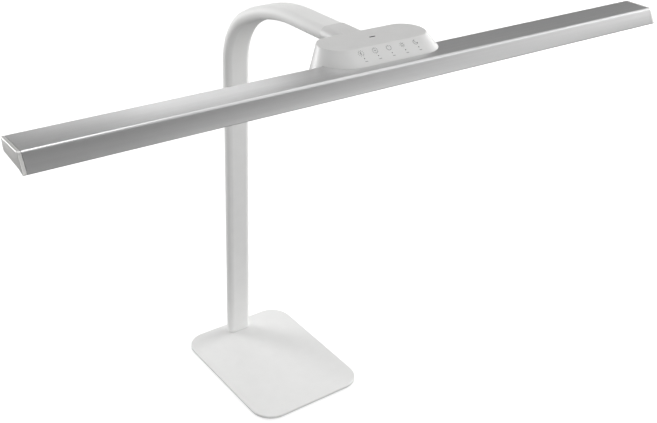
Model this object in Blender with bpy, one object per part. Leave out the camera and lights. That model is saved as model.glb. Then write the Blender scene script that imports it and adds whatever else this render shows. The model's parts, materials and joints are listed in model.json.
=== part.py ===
"""Desk lamp with a long light bar: flat base, flat-oval post, flexible flat-oval neck, touch hub and bar.

Frame: metres, +Z up, origin at the centre of the base's underside. +X runs along the light bar and -Y points
to the person at the desk. The neck bends in the YZ plane, at six friction hinges whose axes lie along X.
"""

import math

import bmesh
import bpy
from mathutils import Matrix, Vector

# ---- driving dimensions ----------------------------------------------------------------------------------
GAP = 0.0003

BASE_WIDTH = 0.166
BASE_DEPTH = 0.218
BASE_CORNER = 0.030
BASE_TOP = 0.0050
PAD_THICKNESS = 0.0009
PAD_INSET = 0.004

POST_Y = 0.0918
TUBE_WIDTH = 0.0348
TUBE_DEPTH = 0.0154
TUBE_WALL = 0.0013
TUBE_TOP = 0.3700
INSERT_TOP = 0.030
POST_SCREW_X = 0.010
SCREW_END = 0.017

INLET_Z = 0.046
INLET_BARREL = 0.0054
INLET_FLANGE = 0.0068
INLET_BORE = 0.00275
INLET_PIN = 0.0010

SLEEVE_WIDTH = 0.0366
SLEEVE_DEPTH = 0.0172
SLEEVE_WALL = 0.0020
NECK_START_Z = 0.3757
BEND_START_Z = 0.4288
TIGHT_RADIUS = 0.0806
TIGHT_TURN = math.radians(61.0)
NECK_END_Z = 0.5260
HINGE_COUNT = 6
HINGE_PITCH = 0.0515
SLEEVE_HALF_GAP = 0.0016

LINK_EYE_RADIUS = 0.0050
LINK_HALF_EYE = 0.0035
LINK_HALF_WIDTH = 0.0073
LINK_HALF_DEPTH = 0.0030
PIN_RADIUS = 0.0020
PIN_HEAD_RADIUS = 0.0032
PIN_HEAD_HEIGHT = 0.0014

BAR_LENGTH = 0.800
BAR_TOP = 0.5266
BAR_BACK_Y = -0.1982
BAR_TOP_WIDTH = 0.0367
BAR_EDGE_RADIUS = 0.0046
BAR_FRONT_REACH = 0.0460
BAR_FRONT_DROP = 0.0175
BAR_WALL = 0.0015
CAP_LENGTH = 0.0034

HUB_RIM_Z = 0.5404
HUB_RIM = (0.0671, 0.0225, -0.1822)
HUB_SKIRT = (0.0756, 0.0310, -0.1909)
HUB_SKIRT_Z = BAR_TOP + GAP
HUB_BOTTOM_Z = 0.5080
HUB_WALL = 0.0020
HUB_PLATE = 0.0009
COVER_PLATE = 0.0018
COVER_WALL_TOP = 0.5200
SENSOR_WINDOW = (0.0040, 0.0011)
COLLAR_WIDTH = 0.0384
COLLAR_DEPTH = 0.0188
COLLAR_WALL = 0.0018

ICON_PITCH = 0.018
ICON_COUNT = 5
DOT_ALONG_PANEL = 0.0092
DOT_OFFSET = 0.0010
DOT_RADIUS = 0.0005

HEAD_SCREW_X = (-0.042, -0.009, 0.009, 0.042)
HEAD_SCREW_Y = -0.2045
CARRIER_FRONT_Y = -0.2105
CARRIER_HALF_WIDTH = 0.050
CARRIER_PLATE = 0.0025
COVER_SCREW_X = 0.060
COVER_SCREW_Y = -0.1775

LED_COUNT = 40

# ---- sizes worked out from them --------------------------------------------------------------------------
LEVEL_TURN = math.pi / 2 - TIGHT_TURN
WIDE_RADIUS = (NECK_END_Z - BEND_START_Z - TIGHT_RADIUS * math.sin(TIGHT_TURN)) / (1 - math.sin(TIGHT_TURN))
STRAIGHT_LENGTH = BEND_START_Z - NECK_START_Z
TIGHT_LENGTH = TIGHT_RADIUS * TIGHT_TURN
WIDE_LENGTH = WIDE_RADIUS * LEVEL_TURN
NECK_LENGTH = HINGE_COUNT * HINGE_PITCH


def centreline(s):
    """Point of the neck's centreline and its heading, s along it; heading 0 is up, a quarter turn is -Y."""
    if s <= STRAIGHT_LENGTH:
        return POST_Y, NECK_START_Z + s, 0.0
    s -= STRAIGHT_LENGTH
    turn = min(s / TIGHT_RADIUS, TIGHT_TURN)
    y = POST_Y - TIGHT_RADIUS * (1 - math.cos(turn))
    z = BEND_START_Z + TIGHT_RADIUS * math.sin(turn)
    if s <= TIGHT_LENGTH:
        return y, z, turn
    s -= TIGHT_LENGTH
    heading = min(TIGHT_TURN + s / WIDE_RADIUS, math.pi / 2)
    y -= WIDE_RADIUS * (math.cos(TIGHT_TURN) - math.cos(heading))
    z += WIDE_RADIUS * (math.sin(heading) - math.sin(TIGHT_TURN))
    if s > WIDE_LENGTH:
        y -= s - WIDE_LENGTH
    return y, z, heading


def neck_point(s, offset=0.0):
    """Point of the YZ plane at s along the neck and offset towards the outside of its bend."""
    y, z, heading = centreline(s)
    return y + offset * math.cos(heading), z + offset * math.sin(heading)


HINGE_S = [(k + 0.5) * HINGE_PITCH for k in range(HINGE_COUNT)]
HINGES = [Vector((0.0, *neck_point(s))) for s in HINGE_S]
COLLAR_START_Y = neck_point(NECK_LENGTH)[0]


# ---- materials -------------------------------------------------------------------------------------------
def make_material(name, colour, roughness, metallic=0.0):
    material = bpy.data.materials.new(name)
    material.use_nodes = True
    shader = material.node_tree.nodes["Principled BSDF"]
    shader.inputs["Base Color"].default_value = (*colour, 1.0)
    shader.inputs["Roughness"].default_value = roughness
    shader.inputs["Metallic"].default_value = metallic
    return material


# ---- outlines --------------------------------------------------------------------------------------------
def arc(centre, radius, start, end, steps):
    """Points of an arc from start to end, in degrees, both ends included."""
    points = []
    for i in range(steps + 1):
        angle = math.radians(start + (end - start) * i / steps)
        points.append((centre[0] + radius * math.cos(angle), centre[1] + radius * math.sin(angle)))
    return points


def rounded_rectangle(width, depth, radius, steps, centre=(0.0, 0.0)):
    x = width / 2 - radius
    y = depth / 2 - radius
    points = []
    for quarter, (sx, sy) in enumerate(((1, 1), (-1, 1), (-1, -1), (1, -1))):
        corner = (centre[0] + sx * x, centre[1] + sy * y)
        points += arc(corner, radius, 90 * quarter, 90 * quarter + 90, steps)
    return points


def stadium(width, depth, steps, centre=(0.0, 0.0)):
    """Flat-oval outline with round ends, counter-clockwise from its lower right corner."""
    radius = depth / 2
    reach = width / 2 - radius
    right = arc((centre[0] + reach, centre[1]), radius, -90, 90, steps)
    left = arc((centre[0] - reach, centre[1]), radius, 90, 270, steps)
    return right + left


def box_outline(low_x, high_x, low_y, high_y):
    return [(low_x, low_y), (high_x, low_y), (high_x, high_y), (low_x, high_y)]


# ---- solids ----------------------------------------------------------------------------------------------
def loft(rings):
    """Closed solid through equal rings of 3D points, each counter-clockwise seen from the last ring."""
    solid = bmesh.new()
    loops = [[solid.verts.new(point) for point in ring] for ring in rings]
    count = len(loops[0])
    for lower, upper in zip(loops, loops[1:]):
        for i in range(count):
            j = (i + 1) % count
            solid.faces.new((lower[i], lower[j], upper[j], upper[i]))
    solid.faces.new(reversed(loops[0]))
    solid.faces.new(loops[-1])
    return solid


def tube_loft(outer_rings, inner_rings):
    """Open pipe between two equal sets of rings."""
    solid = bmesh.new()
    outer = [[solid.verts.new(point) for point in ring] for ring in outer_rings]
    inner = [[solid.verts.new(point) for point in ring] for ring in inner_rings]
    count = len(outer[0])
    for i in range(count):
        j = (i + 1) % count
        for lower, upper in zip(outer, outer[1:]):
            solid.faces.new((lower[i], lower[j], upper[j], upper[i]))
        for lower, upper in zip(inner, inner[1:]):
            solid.faces.new((lower[j], lower[i], upper[i], upper[j]))
        solid.faces.new((outer[0][j], outer[0][i], inner[0][i], inner[0][j]))
        solid.faces.new((outer[-1][i], outer[-1][j], inner[-1][j], inner[-1][i]))
    return solid


def upright_prism(outline, low, high):
    """Solid of an XY outline from z low to z high."""
    return loft([[(x, y, z) for x, y in outline] for z in (low, high)])


def sideways_prism(outline, low, high):
    """Solid of a YZ outline from x low to x high."""
    return loft([[(x, y, z) for y, z in outline] for x in (low, high)])


def turned(profile, steps):
    """Solid turned about Z from (radius, height) pairs; it starts and ends on the axis, bottom first."""
    solid = bmesh.new()
    verts = [solid.verts.new((radius, 0.0, height)) for radius, height in profile]
    edges = [solid.edges.new(pair) for pair in zip(verts, verts[1:])]
    bmesh.ops.spin(solid, geom=verts + edges, cent=(0, 0, 0), axis=(0, 0, 1), angle=2 * math.pi, steps=steps)
    bmesh.ops.remove_doubles(solid, verts=solid.verts, dist=0.00001)
    bmesh.ops.recalc_face_normals(solid, faces=solid.faces)
    return solid


def bar_section(points, low_x, high_x):
    """Solid along X of an outline given as (reach from the bar's back edge, drop from its top)."""
    return sideways_prism([(BAR_BACK_Y - reach, BAR_TOP - drop) for reach, drop in points], low_x, high_x)


# ---- objects ---------------------------------------------------------------------------------------------
def make_object(name, solid, material, origin=(0, 0, 0), smooth=None):
    """Object with its origin at origin, from a solid modelled in world coordinates."""
    origin = Vector(origin)
    solid.transform(Matrix.Translation(-origin))
    bmesh.ops.recalc_face_normals(solid, faces=solid.faces)
    mesh = bpy.data.meshes.new(name)
    solid.to_mesh(mesh)
    solid.free()
    if material is not None:
        mesh.materials.append(material)
    if smooth is not None:
        mesh.shade_smooth()
        mesh.set_sharp_from_angle(angle=math.radians(smooth))
    item = bpy.data.objects.new(name, mesh)
    item.location = origin
    bpy.context.scene.collection.objects.link(item)
    return item


def combine(item, solid, operation):
    """Union or difference of an object with a solid in world coordinates, kept as a live modifier."""
    number = len(item.modifiers) + 1
    tool = make_object(f"{item.name}_tool_{number}", solid, None, origin=item.location)
    tool.location = (0, 0, 0)
    tool.parent = item
    tool.hide_render = True
    tool.display_type = "WIRE"
    modifier = item.modifiers.new(f"{operation.lower()}_{number}", "BOOLEAN")
    modifier.operation = operation
    modifier.solver = "EXACT"
    modifier.object = tool


def add(item, solid):
    combine(item, solid, "UNION")


def cut(item, solid):
    combine(item, solid, "DIFFERENCE")


def bevel(item, width, segments=2, angle=40):
    modifier = item.modifiers.new("edges", "BEVEL")
    modifier.width = width
    modifier.segments = segments
    modifier.limit_method = "ANGLE"
    modifier.angle_limit = math.radians(angle)
    modifier.use_clamp_overlap = True


def make_pivots():
    """Chain of empties on the hinge axes; turning one about its X axis moves everything beyond it."""
    pivots = []
    for number, hinge in enumerate(HINGES):
        pivot = bpy.data.objects.new(f"neck_hinge_{number + 1}", None)
        pivot.empty_display_size = 0.02
        bpy.context.scene.collection.objects.link(pivot)
        pivot.location = hinge
        if pivots:
            pivot.parent = pivots[-1]
            pivot.location = hinge - HINGES[number - 1]
        pivots.append(pivot)
    return pivots


def hang(item, hinge):
    """Parents an object to the pivot of hinge number hinge, and keeps it where it is."""
    item.location = item.location - HINGES[hinge - 1]
    item.parent = PIVOTS[hinge - 1]


def vertical_rod(x, y, radius, low, high, steps=16):
    return upright_prism(arc((x, y), radius, 0, 360, steps)[:-1], low, high)


def cross_rod(y, z, radius, low, high, steps=16):
    return sideways_prism(arc((y, z), radius, 0, 360, steps)[:-1], low, high)


def cap_screw(name, position, shank_radius, length, head_radius, head_height, points_up):
    """Round-headed screw along Z with a hexagon socket; position is the middle of the head's seat."""
    sign = -1 if points_up else 1
    socket = head_radius * 0.45
    low = -length
    solid = turned([(0, low), (shank_radius - 0.0003, low), (shank_radius, low + 0.0004), (shank_radius, 0),
                    (head_radius, 0), (head_radius, head_height * 0.65), (head_radius * 0.86, head_height),
                    (0, head_height)], 16)
    item = make_object(name, solid, STEEL, smooth=35)
    hexagon = upright_prism(arc((0, 0), socket, 0, 360, 6)[:-1], head_height * 0.45, head_height * 2)
    cut(item, hexagon)
    item.location = position
    if sign < 0:
        item.rotation_euler = (math.pi, 0, 0)
    return item


# ---- base and post ---------------------------------------------------------------------------------------
def build_base():
    pad_width = BASE_WIDTH - 2 * PAD_INSET
    pad_depth = BASE_DEPTH - 2 * PAD_INSET
    pad = rounded_rectangle(pad_width, pad_depth, BASE_CORNER - PAD_INSET, 8)
    make_object("base_pad", upright_prism(pad, 0, PAD_THICKNESS), RUBBER, smooth=35)

    plate_low = PAD_THICKNESS + GAP
    outline = rounded_rectangle(BASE_WIDTH, BASE_DEPTH, BASE_CORNER, 10)
    plate = make_object("base_plate", upright_prism(outline, plate_low, BASE_TOP), WHITE_STEEL, smooth=35)
    bevel(plate, 0.0006)
    for side, name in ((-1, "base_screw_left"), (1, "base_screw_right")):
        x = side * POST_SCREW_X
        seat = plate_low + 0.0015
        cut(plate, vertical_rod(x, POST_Y, 0.0043, plate_low - 0.001, seat + GAP))
        cut(plate, vertical_rod(x, POST_Y, 0.0023, plate_low - 0.001, BASE_TOP + 0.001))
        cap_screw(name, (x, POST_Y, seat), 0.0020, SCREW_END - seat, 0.0040, 0.0015, points_up=True)


def build_post():
    low = BASE_TOP + GAP
    inner_width = TUBE_WIDTH - 2 * TUBE_WALL
    inner_depth = TUBE_DEPTH - 2 * TUBE_WALL
    outer = stadium(TUBE_WIDTH, TUBE_DEPTH, 10, (0, POST_Y))
    inner = stadium(inner_width, inner_depth, 10, (0, POST_Y))
    rings = [[[(x, y, z) for x, y in outline] for z in (low, TUBE_TOP)] for outline in (outer, inner)]
    tube = make_object("post_tube", tube_loft(*rings), WHITE_STEEL, smooth=35)

    plug = stadium(inner_width - 2 * GAP, inner_depth - 2 * GAP, 10, (0, POST_Y))
    insert = make_object("post_foot_insert", upright_prism(plug, low, INSERT_TOP), ZINC, smooth=35)
    for side in (-1, 1):
        cut(insert, vertical_rod(side * POST_SCREW_X, POST_Y, 0.0023, low - 0.001, SCREW_END + 0.001))

    back_face = POST_Y + TUBE_DEPTH / 2
    hole_radius = INLET_BARREL + GAP
    barrel_hole = turned([(0, -0.002), (hole_radius, -0.002), (hole_radius, 0.004), (0, 0.004)], 24)
    barrel_hole.transform(to_back(back_face - 0.001))
    cut(tube, barrel_hole)

    inlet = turned([
        (0, -0.0120), (INLET_BARREL, -0.0120), (INLET_BARREL, GAP), (INLET_FLANGE, GAP),
        (INLET_FLANGE, 0.0010), (INLET_FLANGE - 0.0005, 0.0014), (INLET_BORE + 0.0004, 0.0014),
        (INLET_BORE, 0.0010), (INLET_BORE, -0.0085), (INLET_PIN, -0.0085), (INLET_PIN, -0.0012),
        (0, -0.0007)], 24)
    inlet.transform(to_back(back_face))
    make_object("dc_inlet", inlet, BLACK_PLASTIC, smooth=35)


def to_back(y):
    """Turns a solid made along +Z to point along +Y, with its zero height at y on the post's axis."""
    return Matrix.Translation((0, y, INLET_Z)) @ Matrix.Rotation(-math.pi / 2, 4, "X")


# ---- neck ------------------------------------------------------------------------------------------------
def neck_strip(start, end, half_depth, steps):
    """YZ outline of a strip that follows the neck from start to end."""
    stations = [start + (end - start) * i / steps for i in range(steps + 1)]
    outside = [neck_point(s, half_depth) for s in stations]
    inside = [neck_point(s, -half_depth) for s in reversed(stations)]
    return inside[::-1] + outside[::-1]


def neck_rings(start, end, width, depth, steps):
    """Rings of a flat-oval section swept along the neck."""
    rings = []
    for i in range(steps + 1):
        s = start + (end - start) * i / steps
        y, z, heading = centreline(s)
        ring = []
        for x, offset in stadium(width, depth, 8):
            ring.append((x, y + offset * math.cos(heading), z + offset * math.sin(heading)))
        rings.append(ring)
    return rings


def add_fork(item, hinge, first_s):
    """Strap and two cheeks that hold the next link's eye at a hinge; the slot between them is cut out."""
    s = HINGE_S[hinge - 1]
    y, z = neck_point(s)
    strip = neck_strip(first_s, s, LINK_HALF_DEPTH, 4)
    add(item, sideways_prism(strip, -LINK_HALF_WIDTH, LINK_HALF_WIDTH))
    add(item, cross_rod(y, z, LINK_EYE_RADIUS, -LINK_HALF_WIDTH, LINK_HALF_WIDTH))
    slot = LINK_HALF_EYE + GAP
    cut(item, cross_rod(y, z, LINK_EYE_RADIUS + 0.0008, -slot, slot))
    cut(item, cross_rod(y, z, PIN_RADIUS + GAP, -0.012, 0.012))


def link_eye(hinge, last_s):
    """Eye at a hinge with the neck that joins it to its link."""
    s = HINGE_S[hinge - 1]
    y, z = neck_point(s)
    item = sideways_prism(neck_strip(s, last_s, LINK_HALF_DEPTH, 3), -LINK_HALF_EYE, LINK_HALF_EYE)
    return item, cross_rod(y, z, LINK_EYE_RADIUS, -LINK_HALF_EYE, LINK_HALF_EYE)


def build_link(hinge):
    """Steel link from one hinge to the next."""
    here = HINGE_S[hinge - 1]
    there = HINGE_S[hinge]
    web = sideways_prism(neck_strip(here + 0.0075, there - 0.0035, LINK_HALF_DEPTH, 6),
                         -LINK_HALF_WIDTH, LINK_HALF_WIDTH)
    link = make_object(f"neck_link_{hinge}", web, STEEL, origin=HINGES[hinge - 1], smooth=35)
    for solid in link_eye(hinge, here + 0.0090):
        add(link, solid)
    add_fork(link, hinge + 1, there - 0.0060)
    y, z = neck_point(here)
    cut(link, cross_rod(y, z, PIN_RADIUS + GAP, -0.012, 0.012))
    hang(link, hinge)


def build_pin(hinge):
    """Rivet through a fork and the eye that turns in it; it stays with the fork."""
    reach = LINK_HALF_WIDTH + GAP
    dome = reach + PIN_HEAD_HEIGHT
    half = [(PIN_RADIUS, reach), (PIN_HEAD_RADIUS, reach), (PIN_HEAD_RADIUS, dome - 0.0006),
            (PIN_HEAD_RADIUS * 0.7, dome), (0, dome)]
    profile = [(radius, -height) for radius, height in reversed(half)] + half
    pin = make_object(f"neck_pin_{hinge}", turned(profile, 14), STEEL, smooth=35)
    pin.rotation_euler = (0, math.pi / 2, 0)
    pin.location = HINGES[hinge - 1]
    if hinge > 1:
        hang(pin, hinge - 1)


def build_sleeve(number):
    """Stretch of the flexible sleeve between two hinges, or from a hinge to the neck's end."""
    start = HINGE_S[number - 1] + SLEEVE_HALF_GAP if number > 0 else GAP
    end = HINGE_S[number] - SLEEVE_HALF_GAP if number < HINGE_COUNT else NECK_LENGTH - GAP
    outer = neck_rings(start, end, SLEEVE_WIDTH, SLEEVE_DEPTH, 6)
    inner = neck_rings(start, end, SLEEVE_WIDTH - 2 * SLEEVE_WALL, SLEEVE_DEPTH - 2 * SLEEVE_WALL, 6)
    origin = HINGES[number - 1] if number > 0 else (0, POST_Y, NECK_START_Z)
    sleeve = make_object(f"neck_sleeve_{number}", tube_loft(outer, inner), SILICONE, origin, smooth=35)
    if number > 0:
        hang(sleeve, number)


def build_neck():
    plug_width = TUBE_WIDTH - 2 * TUBE_WALL - 2 * GAP
    plug_depth = TUBE_DEPTH - 2 * TUBE_WALL - 2 * GAP
    flange_low = TUBE_TOP + GAP
    flange_high = NECK_START_Z - GAP
    flange = upright_prism(stadium(SLEEVE_WIDTH, SLEEVE_DEPTH, 8, (0, POST_Y)), flange_low, flange_high)
    socket = make_object("neck_root_socket", flange, ZINC, smooth=35)
    plug = stadium(plug_width, plug_depth, 8, (0, POST_Y))
    add(socket, upright_prism(plug, TUBE_TOP - 0.030, flange_low + 0.001))
    strip = box_outline(POST_Y - LINK_HALF_DEPTH, POST_Y + LINK_HALF_DEPTH, flange_high - 0.001,
                        HINGES[0].z - 0.005)
    add(socket, sideways_prism(strip, -LINK_HALF_WIDTH, LINK_HALF_WIDTH))
    add_fork(socket, 1, HINGE_S[0] - 0.0070)
    cut(socket, vertical_rod(0.0120, POST_Y, 0.0018, TUBE_TOP - 0.040, flange_high + 0.010, 12))

    for hinge in range(1, HINGE_COUNT):
        build_link(hinge)
    for hinge in range(1, HINGE_COUNT + 1):
        build_pin(hinge)
    for number in range(HINGE_COUNT + 1):
        build_sleeve(number)


# ---- head: carrier, collar and hub -----------------------------------------------------------------------
def pill_ring(size, z, grow=0.0, steps=12):
    """Ring of a round-ended outline; size is half length, half width and middle y."""
    half_length, half_width, y = size
    outline = stadium(2 * (half_length + grow), 2 * (half_width + grow), steps, (0, y))
    return [(px, py, z) for px, py in outline]


def hub_size_at(z):
    """Outline of the hub's skirt at a height: it flares to the front and the ends, with an upright back."""
    share = (HUB_RIM_Z - z) / (HUB_RIM_Z - HUB_SKIRT_Z)
    return tuple(rim + (skirt - rim) * share for rim, skirt in zip(HUB_RIM, HUB_SKIRT))


def hub_solid(low, high, grow):
    return loft([pill_ring(hub_size_at(z), z, grow) for z in (low, high)])


PANEL_FOOT = Vector((0, HUB_SKIRT[2] - HUB_SKIRT[1], HUB_SKIRT_Z))
PANEL_HEAD = Vector((0, HUB_RIM[2] - HUB_RIM[1], HUB_RIM_Z))
PANEL_UP = (PANEL_HEAD - PANEL_FOOT).normalized()
PANEL_OUT = Vector((1, 0, 0)).cross(PANEL_UP)


def panel_matrix(x, along, depth=0.0):
    """Frame on the hub's slanted front panel: local X along the bar, Y up the slope, Z outward."""
    place = PANEL_FOOT + PANEL_UP * along - PANEL_OUT * depth + Vector((x, 0, 0))
    turn = Matrix((Vector((1, 0, 0)), PANEL_UP, PANEL_OUT)).transposed().to_4x4()
    return Matrix.Translation(place) @ turn


def bar_envelope():
    """Room that the bar and a small gap take out of the pieces that sit round it."""
    return sideways_prism([(BAR_BACK_Y + GAP, 0.45), (BAR_BACK_Y + GAP, HUB_SKIRT_Z),
                           (BAR_BACK_Y - 0.08, HUB_SKIRT_Z), (BAR_BACK_Y - 0.08, 0.45)], -0.1, 0.1)


def build_hub_shell():
    roof = HUB_RIM_Z - HUB_PLATE - GAP
    outside = hub_solid(HUB_BOTTOM_Z, roof, 0.0)
    shell = make_object("hub_shell", outside, WHITE_PLASTIC, HINGES[-1], smooth=35)
    cut(shell, hub_solid(HUB_BOTTOM_Z - 0.002, roof - HUB_WALL, -HUB_WALL))
    for side in (-1, 1):
        x = side * COVER_SCREW_X
        add(shell, vertical_rod(x, COVER_SCREW_Y, 0.0032, HUB_BOTTOM_Z + 0.0021, roof - 0.001, 16))
        cut(shell, vertical_rod(x, COVER_SCREW_Y, 0.0015, HUB_BOTTOM_Z, 0.522, 16))
    cut(shell, bar_envelope())
    doorway = stadium(0.0292, 0.0122, 6, (0, 0.5260))
    neck_door = loft([[(x, y, z) for x, z in doorway] for y in (-0.145, -0.180)])
    cut(shell, neck_door)
    for number in range(ICON_COUNT):
        hole = upright_prism(arc((0, 0), DOT_RADIUS + 0.00025, 0, 360, 12)[:-1], -0.006, 0.004)
        hole.transform(panel_matrix(dot_x(number), DOT_ALONG_PANEL))
        cut(shell, hole)
    hang(shell, HINGE_COUNT)


def dot_x(number):
    return (number - (ICON_COUNT - 1) / 2) * ICON_PITCH + DOT_OFFSET


def build_hub_top():
    low = HUB_RIM_Z - HUB_PLATE
    plate = make_object("hub_top_plate", hub_solid(low, HUB_RIM_Z, 0.0), GREY_PLASTIC, HINGES[-1], smooth=35)
    window = (*SENSOR_WINDOW, HUB_RIM[2])
    cut(plate, loft([pill_ring(window, z, GAP, 6) for z in (low - 0.001, HUB_RIM_Z + 0.001)]))
    hang(plate, HINGE_COUNT)
    lens = loft([pill_ring(window, z, 0.0, 6) for z in (low, HUB_RIM_Z)])
    hang(make_object("sensor_window", lens, DARK_ACRYLIC, HINGES[-1], smooth=35), HINGE_COUNT)


def build_hub_underside():
    """Cover plate under the hub, with an upright wall that closes the hub behind the bar."""
    top = HUB_BOTTOM_Z + COVER_PLATE
    front = BAR_BACK_Y + 0.0007
    solid = hub_solid(HUB_BOTTOM_Z, COVER_WALL_TOP, -(HUB_WALL + GAP))
    cover = make_object("hub_bottom_cover", solid, WHITE_PLASTIC, HINGES[-1], smooth=35)
    cut(cover, sideways_prism(box_outline(-0.30, front, 0.49, 0.53), -0.1, 0.1))
    cut(cover, sideways_prism(box_outline(front + COVER_PLATE, -0.10, top, 0.53), -0.1, 0.1))
    for side, name in ((-1, "cover_screw_left"), (1, "cover_screw_right")):
        x = side * COVER_SCREW_X
        seat = HUB_BOTTOM_Z + 0.0009
        cut(cover, vertical_rod(x, COVER_SCREW_Y, 0.0027, HUB_BOTTOM_Z - 0.001, seat + GAP, 16))
        cut(cover, vertical_rod(x, COVER_SCREW_Y, 0.0015, HUB_BOTTOM_Z - 0.001, top + 0.001, 16))
        screw = cap_screw(name, (x, COVER_SCREW_Y, seat), 0.0012, 0.010, 0.0024, 0.0009, points_up=True)
        hang(screw, HINGE_COUNT)
    hang(cover, HINGE_COUNT)


def build_boards():
    touch = upright_prism(box_outline(-0.048, 0.048, -0.0055, 0.0055), -0.0006, 0.0006)
    touch.transform(panel_matrix(0, 0.0115, 0.0030))
    board = make_object("touch_board", touch, GREEN_BOARD, HINGES[-1])
    for number in range(ICON_COUNT):
        pad = vertical_rod(dot_x(number) - DOT_OFFSET, 0.0016, 0.0034, 0.0003, 0.0008)
        pad.transform(panel_matrix(0, 0.0115, 0.0030))
        add(board, pad)
        pipe = upright_prism(arc((0, 0), DOT_RADIUS, 0, 360, 12)[:-1], -0.0021, 0.0)
        pipe.transform(panel_matrix(dot_x(number), DOT_ALONG_PANEL))
        item = make_object(f"indicator_pipe_{number + 1}", pipe, DARK_ACRYLIC, HINGES[-1], smooth=35)
        hang(item, HINGE_COUNT)
    hang(board, HINGE_COUNT)

    low = HUB_BOTTOM_Z + 0.0030
    driver = sideways_prism(box_outline(-0.1950, -0.1640, low, low + 0.0012), -0.052, 0.052)
    driver_board = make_object("driver_board", driver, GREEN_BOARD, HINGES[-1])
    seat = low + 0.0006
    choke = box_outline(-0.1900, -0.1800, seat, low + 0.0080)
    add(driver_board, sideways_prism(choke, 0.026, 0.038))
    controller = box_outline(-0.1880, -0.1720, seat, low + 0.0032)
    add(driver_board, sideways_prism(controller, -0.014, 0.012))
    add(driver_board, vertical_rod(-0.036, -0.1840, 0.0040, seat, low + 0.0110))
    connector = box_outline(-0.1730, -0.1660, seat, low + 0.0065)
    add(driver_board, sideways_prism(connector, -0.048, -0.034))
    hang(driver_board, HINGE_COUNT)


def build_carrier():
    """Casting that joins the last hinge to the bar: eye, web, block in the collar and plate on the bar."""
    last = HINGE_S[-1]
    block_start = COLLAR_START_Y - 0.012
    block = loft([[(x, y, z) for x, z in stadium(0.0280, 0.0110, 6, (0, NECK_END_Z))]
                  for y in (block_start, BAR_BACK_Y + 0.0022)])
    carrier = make_object("head_carrier", block, ZINC, HINGES[-1], smooth=35)
    web_end = last + (HINGES[-1].y - block_start) + 0.002
    add(carrier, sideways_prism(neck_strip(last + 0.0075, web_end, LINK_HALF_DEPTH, 4),
                                -LINK_HALF_WIDTH, LINK_HALF_WIDTH))
    for solid in link_eye(HINGE_COUNT, last + 0.0090):
        add(carrier, solid)
    plate_low = BAR_TOP + GAP
    plate_top = plate_low + CARRIER_PLATE
    plate = box_outline(-CARRIER_HALF_WIDTH, CARRIER_HALF_WIDTH, CARRIER_FRONT_Y, -0.1992)
    add(carrier, upright_prism(plate, plate_low, plate_top))
    tongue = box_outline(-0.0140, 0.0140, -0.2030, BAR_BACK_Y + 0.0060)
    add(carrier, upright_prism(tongue, plate_low, plate_top))
    y, z = neck_point(last)
    cut(carrier, cross_rod(y, z, PIN_RADIUS + GAP, -0.012, 0.012))
    seat = plate_top + GAP
    for number, x in enumerate(HEAD_SCREW_X):
        cut(carrier, vertical_rod(x, HEAD_SCREW_Y, 0.0018, BAR_TOP - 0.001, seat + 0.001, 16))
        place = (x, HEAD_SCREW_Y, seat)
        screw = cap_screw(f"head_screw_{number + 1}", place, 0.0015, 0.0080, 0.0026, 0.0014, points_up=False)
        hang(screw, HINGE_COUNT)
    hang(carrier, HINGE_COUNT)


def build_collar():
    outer = stadium(COLLAR_WIDTH, COLLAR_DEPTH, 12, (0, NECK_END_Z))
    inner = stadium(COLLAR_WIDTH - 2 * COLLAR_WALL, COLLAR_DEPTH - 2 * COLLAR_WALL, 12, (0, NECK_END_Z))
    ends = (COLLAR_START_Y, HUB_RIM[2] + HUB_RIM[1] - 0.004)
    rings = [[[(x, y, z) for x, z in outline] for y in ends] for outline in (outer, inner)]
    collar = make_object("neck_collar", tube_loft(*rings), GREY_PLASTIC, HINGES[-1], smooth=35)
    cut(collar, hub_solid(HUB_BOTTOM_Z - 0.01, HUB_RIM_Z + 0.001, GAP))
    hang(collar, HINGE_COUNT)


# ---- light bar -------------------------------------------------------------------------------------------
def bar_outline():
    """Outer outline of the bar, drop against reach: flat top, front leaning outward, shallow underside."""
    lean = math.degrees(math.atan2(BAR_FRONT_DROP, BAR_FRONT_REACH - BAR_TOP_WIDTH))
    front_top = arc((BAR_TOP_WIDTH - 0.0026, BAR_EDGE_RADIUS), BAR_EDGE_RADIUS, -90, lean - 90, 6)
    back_top = arc((0.0010, 0.0010), 0.0010, 180, 270, 3)
    back_low = arc((0.0050, 0.0098), 0.0026, 90, 160, 4)
    front_low = arc((BAR_FRONT_REACH - 0.0014, BAR_FRONT_DROP - 0.0010), 0.0010, lean - 90, 105, 4)
    return back_top + front_top + front_low + [(0.0368, 0.0152)] + back_low


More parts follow.
